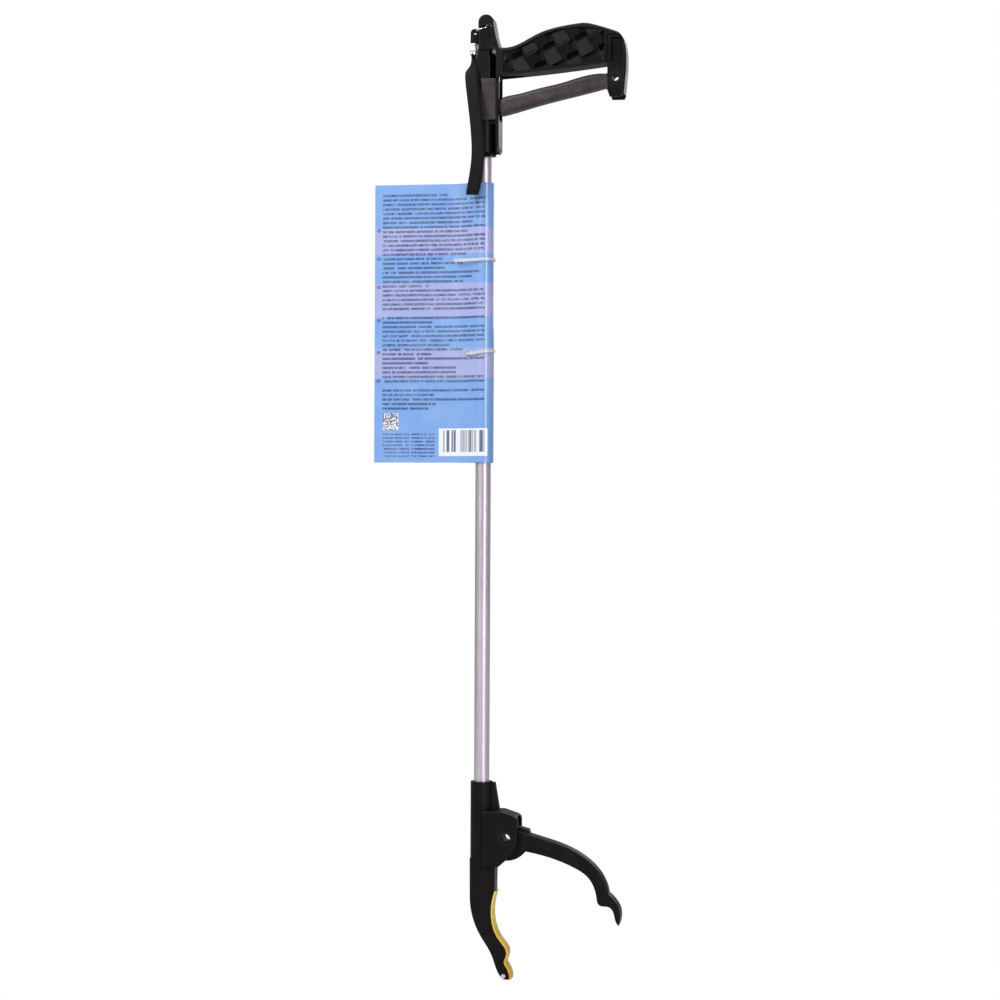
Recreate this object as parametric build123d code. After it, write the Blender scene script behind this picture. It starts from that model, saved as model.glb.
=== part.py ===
from build123d import *
import os
from math import atan, cos, degrees, hypot, pi, radians, sin, tan

# Trigger-operated reacher: handle, aluminium tube, pull rod and a two-jaw head.
#
# Drawn with the tube's axis on Z and the trigger axle's height at Z = 0, then moved so that the
# origin is the middle of the trigger axle's bore. X points from the tube to the grip.

os.makedirs("parts", exist_ok=True)

# Overall
grip_reach = 112.0          # tube axis to trigger axle
tube_length = 579.5
tube_r = 6.5
tube_wall = 1.2
tube_top_z = -34.5          # upper end of the tube, below the trigger axle's height

# Fits
run_fit = 0.06              # radial clearance of a shaft that turns or slides
loose_fit = 0.3             # between parts that only pass each other
slot_play = 0.2             # each side of a pin in a slot
seat_fit = 0.02             # radial clearance of a part that is fixed in a hole

# Handle
grip_half = 10.0            # half width of grip, flange and end post rim
head_half = 9.0
spine_half = 7.5
spine_left = -6.5
spine_face = 13.6           # face of the flange that the hand meets
flange_thick = 2.4
slot_left = 5.1             # left side of the open travel slot
rear_slot_left = 8.4
cavity_half = 6.0
cavity_left = -4.4
cavity_top = 25.6
socket_wall = 2.6
socket_bottom = -62.5
post_half = 9.0
palm_radius = 2.6
post_bottom = -16.0
pocket_floor = 6.4          # half thickness left between the grip's two waffle faces
pit_floor = 2.6             # half thickness left between two deep pits
head_eye_r = 2.6
head_eye = (4.2, 47.2)
dome_at = (2.3, 48.6)       # middle of the rounded head
dome_rise = 7.4
eye_web_half = 3.0
mark_at = (2.6, 39.6)

# Trigger
trigger_half = 7.0
trigger_swing = 11.0        # degrees, released to squeezed
slider_clear = 11.4         # the squeezed trigger's shoulders stay right of this
hub_r = 6.8
tongue_half = 3.5
tongue_r = 4.0
axle_r = 4.0
axle_bore_r = 2.95
axle_flange_r = 5.3
axle_flange = 0.8

# Slider
slider_top = 1.7
slider_bottom = -33.3
slider_pin = (7.5, -23.0)   # cross pin at rest
slider_pin_r = 1.6
plate_thick = 2.1
plate_left = -1.9

# Rod and spring
rod_r = 1.5
nut_flats = 5.5
nut_high = 2.4
guide_high = 8.0
spring_wire_r = 0.5
spring_coils = 14
spring_length = 58.0
collar_high = 5.0

# Jaw head, drawn about the jaw axle with the jaw open
jaw_axle_x = 22.6           # tube axis to jaw axle
jaw_axle_drop = 22.8        # tube end to jaw axle
jaw_swing = 51.2            # degrees, open to closed
collar_top = 46.5
collar_r = 9.3
arm_half = 7.0
cheek_inner = 8.7
cheek_outer = 13.0
lever_cavity_half = 5.8
wide_hub_r = 10.0
wide_hub_half = 8.4
heel_r = 19.5
heel_half = 5.4
ear_r = 4.5
ear_inner = 3.0
jaw_bore_r = 4.0
jaw_axle_r = 5.0
jaw_flange_r = 6.4
jaw_flange = 1.0
lever_pin_r = 1.6
lining_thick = 1.2
magnet_r = 1.9
magnet_at = (-2.2, -116.6)
yoke_half = 2.7

# Lanyard, card and ties
ring_r = 7.0
ring_wire_r = 0.9
ring_tilt = 16.0
strap_area_r = 2.0          # round stand-in with the section area of the webbing
card_left = -94.5
card_top = -85.4
card_height = 236.0
card_thick = 0.5
card_meet = -30.0           # where the card's halves come together
card_gap = 1.6              # between the tube and the card's fold
tie_thick = 1.0
tie_width = 2.6
upper_tie = (-23.4, -151.0, -2.0)   # place of its left side, and tilt in degrees
lower_tie = (-11.6, -229.4, -7.0)

# Worked out
tube_bottom_z = tube_top_z - tube_length
jaw_axle_z = tube_bottom_z - jaw_axle_drop
tube_bore_r = tube_r - tube_wall
socket_r = tube_r + socket_wall
pin_arm = grip_reach - slider_pin[0]
pin_angle = degrees(atan(-slider_pin[1] / pin_arm))
rod_travel = pin_arm * (tan(radians(pin_angle)) - tan(radians(pin_angle - trigger_swing)))
lever_r = rod_travel / (2 * sin(radians(jaw_swing / 2)))
lever_pin = (-lever_r * cos(radians(jaw_swing / 2)), -lever_r * sin(radians(jaw_swing / 2)))
rod_top_z = slider_bottom + 6.4
yoke_top = 6.6              # above the lever pin
yoke_bottom = -4.4
rod_bottom_z = jaw_axle_z + lever_pin[1] + yoke_top - 3.0
spring_seat_z = tube_bottom_z + spring_length + collar_high + 14.0


def slab(curves, half, middle=0.0):
    """A plate of an outline in X and Z, half to each side of middle in Y."""
    face = Plane.XZ * make_face(Curve() + curves)
    return Pos(0, middle - half, 0) * extrude(face, amount=2 * half, dir=(0, 1, 0))


def block(x0, x1, y0, y1, z0, z1):
    return Pos((x0 + x1) / 2, (y0 + y1) / 2, (z0 + z1) / 2) * Box(x1 - x0, y1 - y0, z1 - z0)


def cross_bar(x, z, radius, half, middle=0.0):
    """A cylinder along Y."""
    return Pos(x, middle, z) * Rot(X=90) * Cylinder(radius, 2 * half)


def upright(x, radius, z0, z1):
    """A cylinder along Z."""
    return Pos(x, 0, (z0 + z1) / 2) * Cylinder(radius, z1 - z0)


def rim_edges(solid, half, keep):
    """Edges of a slab's two faces whose middle passes the test."""
    edges = [e for e in solid.edges() if abs(abs(e.center().Y) - half) < 1e-3]
    return [e for e in edges if keep(e.center())]


def along_grip(share):
    """X on the grip: 0 at the flange's face, 1 at the trigger axle."""
    return spine_face + share * (grip_reach - spine_face)


# ---- handle ----

def grip_outline():
    right = grip_reach + 9.1
    palm = [(along_grip(s), z) for s, z in
            ((-0.06, 29.0), (0.09, 27.9), (0.35, 39.2), (0.66, 45.9), (1.0, 39.0))]
    under = [(right, 8.0), (right - 1.9, post_bottom + 2.5), (right - 3.4, post_bottom),
             (grip_reach - 4.6, post_bottom), (grip_reach - 6.4, post_bottom + 5.0),
             (grip_reach - 6.8, 12.4)]
    return [
        Spline(*palm, tangents=[(1, -0.3), (1, -0.35)]),
        Spline(palm[-1], (right - 1.2, 28.0), under[0], tangents=[(1, -0.35), (0, -1)]),
        Polyline(*under),
        ThreePointArc(under[-1], (along_grip(0.42), 7.0), (along_grip(-0.06), 3.4)),
        Line((along_grip(-0.06), 3.4), palm[0]),
    ]


def waffle_region():
    """The part of the grip's side that is cored out, inside its rim."""
    top = [(0.035, 24.6), (0.10, 24.8), (0.21, 29.0), (0.35, 35.6), (0.48, 40.4), (0.61, 42.3),
           (0.71, 42.4), (0.81, 41.2), (0.905, 38.6)]
    points = [(along_grip(s), z) for s, z in top]
    end = points[-1][0]
    return slab([
        Spline(*points),
        Line(points[-1], (end, 14.6)),
        ThreePointArc((end, 14.6), (along_grip(0.42), 10.0), (points[0][0], 6.8)),
        Line((points[0][0], 6.8), points[0]),
    ], grip_half + 1)


def waffle_site(column, row):
    """A deep pit's middle: the weave's columns climb along the grip, its rows run down."""
    return along_grip(0.155) + 26.9 * column + 19.9 * row, 21.2 + 7.2 * column - 8.6 * row


def waffle_pads(side):
    """Slanted pads of the weave on one side of the grip; side is -1 or 1."""
    pads = []
    for column in range(-1, 4):
        for row in (-1, 0, 1):
            x, z = waffle_site(column, row)
            for dx, dz, long, tilt in ((3.4, -9.6, 13.0, 7.0), (-7.0, 4.4, 13.0, -7.0)):
                pad = Rot(Y=-28) * Rot(X=side * tilt) * Box(11.6, 2.6, long)
                pads.append(Pos(x + dx, side * (pocket_floor + 0.9), z + dz) * pad)
    return pads


def waffle_pits():
    pits = []
    for column in range(-1, 4):
        for row in (-1, 0, 1):
            x, z = waffle_site(column, row)
            pits.append(Pos(x, 0, z) * Rot(Y=-28) * Box(9.6, 2 * grip_half + 2, 4.4))
    return pits


def grip():
    solid = slab(grip_outline(), grip_half)
    palm = rim_edges(solid, grip_half, lambda c: c.Z > 20)
    solid = fillet(palm, palm_radius)
    region = waffle_region()
    solid -= region - block(-200, 200, -pocket_floor, pocket_floor, -200, 200)
    for side in (-1, 1):
        solid += region & (Part() + waffle_pads(side))
    pits = (Part() + waffle_pits()) & region
    return solid - (pits - block(-200, 200, -pit_floor, pit_floor, -200, 200))


def post_details(solid):
    """Chamber for the trigger's hub, seats for its axle, and the post's side recesses."""
    solid -= block(grip_reach - 12, grip_reach + 7.2, -trigger_half - loose_fit,
                   trigger_half + loose_fit, post_bottom - 1, 10.6)
    for side in (-1, 1):
        y0, y1 = sorted((side * post_half, side * (grip_half + 1)))
        solid -= block(grip_reach - 7.5, grip_reach + 6.0, y0, y1, -9.5, 36.0)
        y0, y1 = sorted((side * 6.6, side * (grip_half + 1)))
        solid -= block(grip_reach - 3.6, grip_reach + 5.0, y0, y1, 13.0, 33.5)
        solid -= cross_bar(grip_reach, 0, axle_flange_r + seat_fit, axle_flange / 2,
                           side * (post_half - axle_flange / 2))
    return solid - cross_bar(grip_reach, 0, axle_r + seat_fit, grip_half + 1)


def spine_back():
    """The hand's side of the head, from the dome down to the flange's face."""
    x, z = dome_at
    return Spline((x + 6.2, z), (10.8, 37.0), (spine_face, 24.0), tangents=[(0.25, -1), (0, -1)])


def head_and_spine():
    x, z = dome_at
    left = x - 6.8
    outline = [
        Line((spine_left, tube_top_z - 2), (spine_left, 12.0)),
        Spline((spine_left, 12.0), (-5.6, 22.0), (left, 31.0), tangents=[(0, 1), (0, 1)]),
        Line((left, 31.0), (left, z)),
        ThreePointArc((left, z), (x - 0.3, z + dome_rise), (x + 6.2, z)),
        spine_back(),
        Line((spine_face, 24.0), (spine_face, tube_top_z - 2)),
        Line((spine_face, tube_top_z - 2), (spine_left, tube_top_z - 2)),
    ]
    core = slab(outline, spine_half)
    head = slab(outline, head_half) & block(-50, 50, -50, 50, cavity_top + 0.8, 100)
    return core + fillet(rim_edges(head, head_half, lambda c: c.Z > cavity_top + 3), 1.4)


def flange():
    """The full-width strip along the spine that the hand rests against."""
    x0 = spine_face - flange_thick
    x, z = dome_at
    outline = [
        spine_back(),
        Line((spine_face, 24.0), (spine_face, socket_bottom + 6)),
        Polyline((spine_face, socket_bottom + 6), (spine_face - 1.2, socket_bottom + 3),
                 (x0, socket_bottom + 2), (x0, 26.0), (x0 - 2.4, 37.0), (x + 4.0, z),
                 (x + 6.2, z)),
    ]
    solid = slab(outline, grip_half)
    face = rim_edges(solid, grip_half, lambda c: c.X > 9 and c.Z > socket_bottom + 10
                     and c.X > x0 + 0.1 or c.Z > 30 and c.X > x + 7)
    return fillet(face, 0.8)


def tube_socket():
    top = slider_bottom - loose_fit
    solid = upright(0, socket_r, socket_bottom, top)
    solid += upright(0, socket_r + 0.9, socket_bottom, socket_bottom + 4.5)
    solid += block(0, spine_face - 0.5, -2.0, 2.0, socket_bottom + 1.5, top)
    solid += block(1.0, 7.0, -socket_r - 1.6, -socket_r + 2, socket_bottom - 1.6, socket_bottom + 2)
    return solid


def handle_body():
    solid = head_and_spine() + tube_socket() + flange() + post_details(grip())
    top = slider_bottom - loose_fit
    # travel room of the slider: a cavity, a wide slot in front and a narrow one behind
    solid -= block(cavity_left, spine_face - flange_thick, -cavity_half, cavity_half,
                   top, cavity_top)
    solid -= block(slot_left, spine_face - flange_thick, -30, 0, top, cavity_top)
    solid -= block(rear_slot_left, spine_face - flange_thick, 0, 30, top, cavity_top)
    # outside the spine the side plates slide past the tube socket's top
    for side in (-1, 1):
        y0, y1 = sorted((side * spine_half, side * 30))
        solid -= block(-30, spine_face - flange_thick, y0, y1, top, cavity_top - 0.2)
    # window in the flange for the trigger
    solid -= block(spine_face - flange_thick - 1, spine_face + 4,
                   -trigger_half - loose_fit, trigger_half + loose_fit, slider_bottom, 5.6)
    # the squeezed trigger goes up a little way between the grip's walls
    solid -= block(spine_face - flange_thick, 34.0, -trigger_half - loose_fit,
                   trigger_half + loose_fit, -2.0, 5.6)
    # tube, eye, and the round mark below the eye
    solid -= upright(0, tube_r + seat_fit, socket_bottom - 3, top + 1)
    solid -= cross_bar(*head_eye, head_eye_r, 30)
    # a groove in each face lets the ring through the eye
    for side in (-1, 1):
        y0, y1 = sorted((side * eye_web_half, side * 30))
        solid -= at_ring(block(-20, ring_r + 1.6, y0, y1, -1.6, 1.6))
    # round mark below the eye, raised in a shallow dish
    for side in (-1, 1):
        solid -= cross_bar(*mark_at, 3.6, 0.5, side * head_half)
        solid += cross_bar(*mark_at, 2.7, 0.4, side * (head_half - 0.4))
    # seats of the stop pin and of the rivet behind the socket
    solid -= cross_bar(stop_pin_at[0], stop_pin_at[1], slider_pin_r + seat_fit, 30)
    return solid - rivet_hole(handle_rivet_z)


stop_pin_at = (spine_face - flange_thick - 1.9, cavity_top - 1.4)
handle_rivet_z = socket_bottom + 8.5
jaw_rivet_z = tube_bottom_z + 12.0
rivet_r = 1.6


def rivet(z, outer):
    """A rivet from the rear, through a socket wall of that radius and the tube's wall."""
    inner = tube_bore_r - 0.8
    shank = Pos(0, (inner + outer) / 2, z) * Rot(X=90) * Cylinder(rivet_r, outer - inner)
    head = Pos(0, outer + 0.5, z) * Rot(X=90) * Cylinder(2 * rivet_r, 1.0)
    return shank + fillet(head.edges().group_by(Axis.Y)[-1], 0.6)


def rivet_hole(z):
    return Pos(0, 15, z) * Rot(X=90) * Cylinder(rivet_r + seat_fit, 30)


def tube_rivets():
    return [rivet(handle_rivet_z, socket_r), rivet(jaw_rivet_z, collar_r)]


# ---- trigger and slider ----

def trigger():
    """Bar with a hub on the axle and a slotted tongue on the slider's cross pin."""
    left = spine_face - 0.4
    top = [(0.0, -15.2), (0.05, -13.0), (0.14, -11.4), (0.32, -7.2), (0.53, -2.8), (0.69, 1.6),
           (0.82, 4.0), (0.885, 4.2), (0.93, 3.6)]
    low = [(0.96, -6.2), (0.80, -10.2), (0.51, -16.6), (0.33, -20.8), (0.17, -25.1), (0.0, -29.2)]
    top_points = [(along_grip(s), z) for s, z in top]
    low_points = [(along_grip(s), z) for s, z in low]
    top_points[0] = (left, top_points[0][1])
    low_points[-1] = (left, low_points[-1][1])
    bar = slab([Spline(*top_points), Line(top_points[-1], low_points[0]), Spline(*low_points),
                Line(low_points[-1], top_points[0])], trigger_half)
    bar = fillet(rim_edges(bar, trigger_half, lambda c: c.X < grip_reach - 12 and c.X > left + 1), 3.6)
    hub = cross_bar(grip_reach, 0, hub_r, trigger_half)
    neck = slab([Polyline((grip_reach - 8.5, 3.5), (grip_reach, hub_r - 0.6),
                          (grip_reach, -hub_r + 0.2), (grip_reach - 9, -7.6),
                          (grip_reach - 8.5, 3.5))], trigger_half)
    px, pz = slider_pin
    tongue = slab([Polyline((px, pz + tongue_r), (left + 3, pz + tongue_r + 1.4),
                            (left + 3, pz - tongue_r + 0.4), (px, pz - tongue_r),
                            (px, pz + tongue_r))], tongue_half)
    tongue += cross_bar(px, pz, tongue_r, tongue_half)
    solid = bar + hub + neck + tongue
    # the pin moves towards the axle along this slot as the trigger is squeezed
    travel = hypot(pin_arm, pz) - pin_arm / cos(radians(pin_angle - trigger_swing)) + slot_play
    slot = Box(travel, 4 * tongue_half, 2 * (slider_pin_r + slot_play))
    solid -= Pos(px, 0, pz) * Rot(Y=-pin_angle) * Pos(travel / 2, 0, 0) * slot
    solid -= cross_bar(px, pz, slider_pin_r + slot_play, 10)
    end = Pos(px, 0, pz) * Rot(Y=-pin_angle) * Pos(travel, 0, 0)
    solid -= end * Rot(X=90) * Cylinder(slider_pin_r + slot_play, 20)
    # shoulders cut back so that they stay clear of the slider when squeezed
    for side in (-1, 1):
        y0, y1 = sorted((side * tongue_half, side * 30))
        cut = block(-130, slider_clear - grip_reach, y0, y1, -60, 60)
        solid -= Pos(grip_reach, 0, 0) * Rot(Y=-trigger_swing) * cut
    heel = block(-130, slider_clear - grip_reach, -30, 30, -60, -8.3)
    solid -= Pos(grip_reach, 0, 0) * Rot(Y=-trigger_swing) * heel
    return solid - cross_bar(grip_reach, 0, axle_r + run_fit, 20)


def hollow_axle(x, z, half, outer, bore, flange_r, flange_high):
    solid = cross_bar(x, z, outer, half)
    for side in (-1, 1):
        solid += cross_bar(x, z, flange_r, flange_high / 2, side * (half - flange_high / 2))
    return solid - cross_bar(x, z, bore, half + 1)


def slider_core():
    """Block in the spine's cavity, with webs out through the slot and a fork for the tongue."""
    left, right = cavity_left + loose_fit, spine_face - flange_thick - loose_fit
    half = cavity_half - loose_fit
    solid = block(left, right, -half, half, slider_bottom, slider_top)
    web = spine_half + loose_fit
    solid += block(slot_left + loose_fit, right, -web, 0, slider_bottom, slider_top)
    solid += block(rear_slot_left + loose_fit, right, 0, web, slider_bottom, slider_top)
    solid -= block(1.0, right + 1, -tongue_half - loose_fit, tongue_half + loose_fit,
                   slider_bottom + 4.2, slider_pin[1] + 9.0)
    solid -= block(left - 1, right + 1, -half - 5, half + 5, slider_top - 9.0, slider_top - 3.0) & \
        block(left + 2, slot_left - 1.6, -half - 5, half + 5, -100, 100)
    solid -= upright(0, rod_r + seat_fit, slider_bottom - 1, slider_bottom + 5)
    solid -= upright(0, nut_flats / 2 / cos(pi / 6) + 0.3, slider_bottom + 3.0, slider_bottom + 8.0)
    return solid - cross_bar(*slider_pin, slider_pin_r + seat_fit, 20, -20 + half)


def slider_plate(side):
    """Outer plate on one side of the spine, with rounded lower corners."""
    right = spine_face - flange_thick - loose_fit
    near = spine_half + loose_fit
    middle = side * (near + plate_thick / 2)
    solid = block(plate_left, right, middle - plate_thick / 2, middle + plate_thick / 2,
                  slider_bottom, slider_top)
    corners = [e for e in solid.edges().filter_by(Axis.Y) if e.center().Z < slider_bottom + 1]
    solid = fillet(corners, 2.4)
    outer = solid.faces().sort_by(Axis.Y)[-1 if side > 0 else 0]
    return fillet(outer.edges(), 0.7)


def slider_cross_pin():
    near, far = -spine_half, cavity_half - loose_fit
    return cross_bar(*slider_pin, slider_pin_r, (far - near) / 2, (far + near) / 2)


def travel_stop_pin():
    return cross_bar(*stop_pin_at, slider_pin_r, grip_half - 1.2)


# ---- tube, rod and spring ----

def tube():
    solid = upright(0, tube_r, tube_bottom_z, tube_top_z)
    solid -= upright(0, tube_bore_r, tube_bottom_z - 1, tube_top_z + 1)
    return solid - rivet_hole(handle_rivet_z) - rivet_hole(jaw_rivet_z)


def rod_guide(z_low, z_high):
    solid = upright(0, tube_bore_r - seat_fit, z_low, z_high)
    return solid - upright(0, rod_r + run_fit, z_low - 1, z_high + 1)


def rod_nut():
    z0 = slider_bottom + 3.0
    hexagon = RegularPolygon(nut_flats / 2 / cos(pi / 6), 6)
    solid = Pos(0, 0, z0) * extrude(hexagon, amount=nut_high)
    return solid - upright(0, rod_r, z0 - 1, z0 + nut_high + 1)


def return_spring():
    """Open coil round the rod between the guide and the rod's collar, its ends set level."""
    coil_r = tube_bore_r - spring_wire_r - 0.9
    length = spring_length - 2 * spring_wire_r - 0.1
    path = Helix(length / spring_coils, length, coil_r)
    section = Plane(origin=path @ 0, z_dir=path % 0) * Circle(spring_wire_r)
    coil = sweep(section, path=path, is_frenet=True)
    return Pos(0, 0, spring_seat_z - spring_length + spring_wire_r + 0.05) * coil


def spring_collar():
    top = spring_seat_z - spring_length
    return upright(0, tube_bore_r - 0.5, top - collar_high, top) - upright(
        0, rod_r, top - collar_high - 1, top + 1)


# ---- jaw head ----

fixed_inner = [(-9.9, -45.4), (-11.6, -51.5), (-12.7, -58.0), (-12.9, -64.0), (-12.3, -70.6),
               (-10.3, -78.2), (-7.3, -84.2), (-2.8, -90.2), (-0.1, -94.4), (0.3, -98.0),
               (-0.9, -102.0), (-1.6, -105.2), (0.4, -109.2), (2.4, -113.6), (2.9, -119.2)]


def pushed_out(points, distance):
    """The same curve moved sideways, towards +X on a curve that runs down."""
    moved = []
    for i, (x, z) in enumerate(points):
        before, after = points[max(i - 1, 0)], points[min(i + 1, len(points) - 1)]
        dx, dz = after[0] - before[0], after[1] - before[1]
        size = hypot(dx, dz)
        moved.append((x - dz / size * distance, z + dx / size * distance))
    moved[-1] = (moved[-1][0], points[-1][1])
    return moved


def fixed_arm():
    tip_z = fixed_inner[-1][1]
    left = -jaw_axle_x - collar_r
    outline = [
        Line((left + 0.3, -18), (left + 0.5, -50.0)),
        Spline((left + 0.5, -50.0), (-30.0, -63.4), (-27.0, -73.4), (-21.8, -84.0), (-15.0, -94.6),
               (-11.4, -102.2), (-8.2, -111.2), (-4.6, -117.4), (-2.6, tip_z),
               tangents=[(0, -1), (1, -0.8)]),
        Line((-2.6, tip_z), fixed_inner[-1]),
        Spline(*reversed(fixed_inner)),
        Line(fixed_inner[0], (-9.6, -24.0)),
        Line((-9.6, -24.0), (-9.6, -18.0)),
        Line((-9.6, -18.0), (left + 0.3, -18)),
    ]
    solid = slab(outline, arm_half)
    outer = rim_edges(solid, arm_half, lambda c: c.Z < -25 and c.X < -20)
    solid = fillet(outer, 1.8)
    # fine lines across the arm's sides where mould inserts meet
    for x, z, tilt in ((-20.0, -53.0, 0.0), (-17.0, -79.0, -14.0)):
        for side in (-1, 1):
            line = Rot(Y=90 + tilt) * Cylinder(0.45, 40)
            solid -= Pos(x, side * arm_half, z) * line
    return solid


def cheeks():
    outline = [
        Line((-19.8, -24.4), (-19.8, 22.4)),
        Line((-19.8, 22.4), (-4.2, 22.6)),
        Line((-4.2, 22.6), (7.4, 18.8)),
        ThreePointArc((7.4, 18.8), (9.5, 17.2), (10.2, 14.4)),
        Line((10.2, 14.4), (10.4, -3.4)),
        ThreePointArc((10.4, -3.4), (4.4, -13.4), (-6.6, -24.4)),
        Line((-6.6, -24.4), (-19.8, -24.4)),
    ]
    solid = slab(outline, cheek_outer)
    rim = rim_edges(solid, cheek_outer, lambda c: c.X > -19.5)
    return fillet(rim, 1.2)


def jaw_body():
    axis = -jaw_axle_x
    solid = upright(axis, collar_r, -24.4, collar_top) + cheeks() + fixed_arm()
    gusset = [Polyline((axis, collar_top - 0.6), (-10.9, collar_top - 0.6), (-6.6, 21.0),
                       (axis, 21.0), (axis, collar_top - 0.6))]
    solid += slab(gusset, 2.6)
    # chamber for the hub, the heel and the lever
    roof = 15.2
    solid -= block(-jaw_axle_x - 6.0, -8.0, -lever_cavity_half, lever_cavity_half, -16.4, 19.8)
    solid -= block(-14.8, 0.0, -cheek_inner, cheek_inner, -14.0, roof)
    solid -= block(-8.0, 30.0, -cheek_inner, cheek_inner, -40.0, roof)
    solid -= cross_bar(0, 0, heel_r + 0.5, lever_cavity_half)
    solid -= cross_bar(0, 0, wide_hub_r + 0.5, cheek_inner)
    # tube socket with a lip under the tube's end
    end = jaw_axle_drop
    solid -= upright(axis, tube_r + seat_fit, end, collar_top + 1)
    solid -= upright(axis, rod_r + 1.2, 10.0, end + 1)
    # axle seats, rivet and magnet
    solid -= cross_bar(0, 0, jaw_axle_r + seat_fit, 30)
    for side in (-1, 1):
        solid -= cross_bar(0, 0, jaw_flange_r + seat_fit, jaw_flange / 2,
                           side * (cheek_outer - jaw_flange / 2))
    solid -= Pos(axis, 15, jaw_rivet_z - jaw_axle_z) * Rot(X=90) * Cylinder(rivet_r + seat_fit, 30)
    return solid - cross_bar(*magnet_at, magnet_r + seat_fit, 20)


def jaw_lining():
    outer = pushed_out(fixed_inner, lining_thick)
    solid = slab([Spline(*fixed_inner), Line(fixed_inner[-1], outer[-1]),
                  Spline(*reversed(outer)), Line(outer[0], fixed_inner[0])], arm_half)
    return solid


hinged_inner = [(16.3, -11.0), (28.7, -13.4), (43.6, -17.6), (58.5, -23.8), (68.0, -29.8),
                (73.2, -36.6), (75.8, -43.5), (77.0, -50.0), (80.4, -54.6), (87.6, -55.6),
                (90.7, -59.4), (92.0, -64.2), (95.2, -70.6)]


def hinged_arm():
    """The arm as far as its narrow tip, with a rounded back, and the tip joined to it."""
    heel, split = (86.6, -44.8), 7
    back = [heel, (79.4, -27.4), (59.4, -10.4), (26.5, 1.4), (4.0, 8.5)]
    inner, tip_inner = hinged_inner[:split + 1], hinged_inner[split:]
    arm = slab([Line((4.0, 8.5), (4.0, -9.0)), Line((4.0, -9.0), inner[0]),
                Spline(*inner), Line(inner[-1], heel), Spline(*back)], arm_half)
    ridge = rim_edges(arm, arm_half, lambda c: c.Z > c.X * -0.42 + 6 and c.X > 30)
    tip = slab([Line(heel, tip_inner[0]), Spline(*tip_inner),
                Spline(tip_inner[-1], (96.6, -64.5), (96.4, -58.8), (93.6, -52.4), heel)],
               arm_half)
    return fillet(ridge, 1.8) + tip


def movable_jaw():
    """Hub on the axle, round heel, two lever ears for the rod, and the curved arm."""
    arm = hinged_arm() + slab([Polyline((14.0, 5.0), (16.6, 6.8), (19.4, 5.2), (18.0, 2.0), (14.0, 2.0),
                          (14.0, 5.0))], 3.0)
    solid = cross_bar(0, 0, wide_hub_r, wide_hub_half) + cross_bar(0, 0, heel_r, heel_half)
    # the heel is cut away above the arm
    solid -= slab([Polyline((-1.0, 12.3), (30.0, 3.6), (30.0, 30.0), (-1.0, 30.0), (-1.0, 12.3))], 30)
    solid += arm
    x, z = lever_pin
    ears = cross_bar(x, z, ear_r, heel_half)
    ears += slab([Polyline((x - 1.9, z + 4.08), (0, 12), (0, -18), (x + 1.9, z - 4.08),
                           (x - 1.9, z + 4.08))], heel_half)
    solid += ears
    # slot between the ears for the yoke, over its whole travel
    solid -= block(-60, -lever_r + 8.6, -ear_inner, ear_inner, -40, 40)
    solid -= block(-60, -2, -ear_inner, ear_inner, -40, 40) - cross_bar(0, 0, 17.0, 40)
    solid -= cross_bar(x, z, lever_pin_r + seat_fit, 30)
    # grip ribs moulded into the inner face
    for i in range(3, len(hinged_inner) - 2):
        (x0, z0), (x1, z1) = hinged_inner[i - 1], hinged_inner[i]
        for share in (0.0, 0.33, 0.67):
            cut = cross_bar(x0 + share * (x1 - x0), z0 + share * (z1 - z0), 0.8, arm_half - 1.6)
            solid -= cut
    return solid - cross_bar(0, 0, jaw_axle_r + run_fit, 30)


def lever_pin_piece():
    return cross_bar(*lever_pin, lever_pin_r, heel_half - 0.1)


def rod_yoke():
    """Block on the rod's end; the lever pin slides a little way across its slot."""
    x, z = lever_pin
    solid = block(-jaw_axle_x - 4.6, -jaw_axle_x + 4.8, -yoke_half, yoke_half,
                  z + yoke_bottom, z + yoke_top)
    x0, x1 = -lever_r - slot_play, lever_pin[0] + slot_play
    solid -= block(x0, x1, -10, 10, z - lever_pin_r - slot_play, z + lever_pin_r + slot_play)
    for end in (x0, x1):
        solid -= cross_bar(end, z, lever_pin_r + slot_play, 10)
    return solid - upright(-jaw_axle_x, rod_r, z + yoke_top - 3.0, z + yoke_top + 1)


def tip_magnet():
    return cross_bar(*magnet_at, magnet_r, arm_half)


# ---- lanyard, card and ties ----

def at_ring(shape):
    return Pos(-1.4, 0, 44.4) * Rot(Y=-ring_tilt) * shape


def lanyard_ring():
    return at_ring(Torus(ring_r, ring_wire_r))


def strap_ring_fold():
    """Webbing folded over the ring, down to the clamp."""
    outer = block(-10.9, -7.1, -5.0, 5.0, 32.2, 42.0) + cross_bar(-8.4, 42.2, 2.5, 5.0)
    outer -= block(-9.9, -8.1, -8, 8, 40.0, 42.4)
    return outer - at_ring(Torus(ring_r, ring_wire_r + 0.1))


def strap_clamp():
    return block(-12.1, -7.1, -5.6, 5.6, 22.9, 32.2)


# the loop's middle line, down the front of the handle and back up
strap_route = [(-10.1, -1.0, 22.2), (-11.6, -5.0, 14.0), (-11.6, -11.2, 2.0), (-10.2, -14.5, -16.0),
               (-8.6, -17.6, -40.0), (-8.0, -19.8, -64.0), (-8.8, -18.8, -84.0), (-9.2, -16.6, -96.8),
               (-8.8, -12.6, -95.2), (-8.0, -12.8, -78.0), (-6.6, -13.4, -52.0), (-7.4, -13.2, -24.0),
               (-9.4, -10.8, 0.0), (-9.8, -5.0, 12.0), (-8.9, 1.2, 22.2)]


def route_radii(points):
    """Bend radius at each corner: 0.45 of the shorter run over the tangent of half the turn."""
    radii = []
    for a, b, c in zip(points, points[1:], points[2:]):
        first, second = Vector(*b) - Vector(*a), Vector(*c) - Vector(*b)
        half_turn = radians(first.get_angle(second) / 2)
        radii.append(0.45 * min(first.length, second.length) / tan(half_turn))
    return radii


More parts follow.
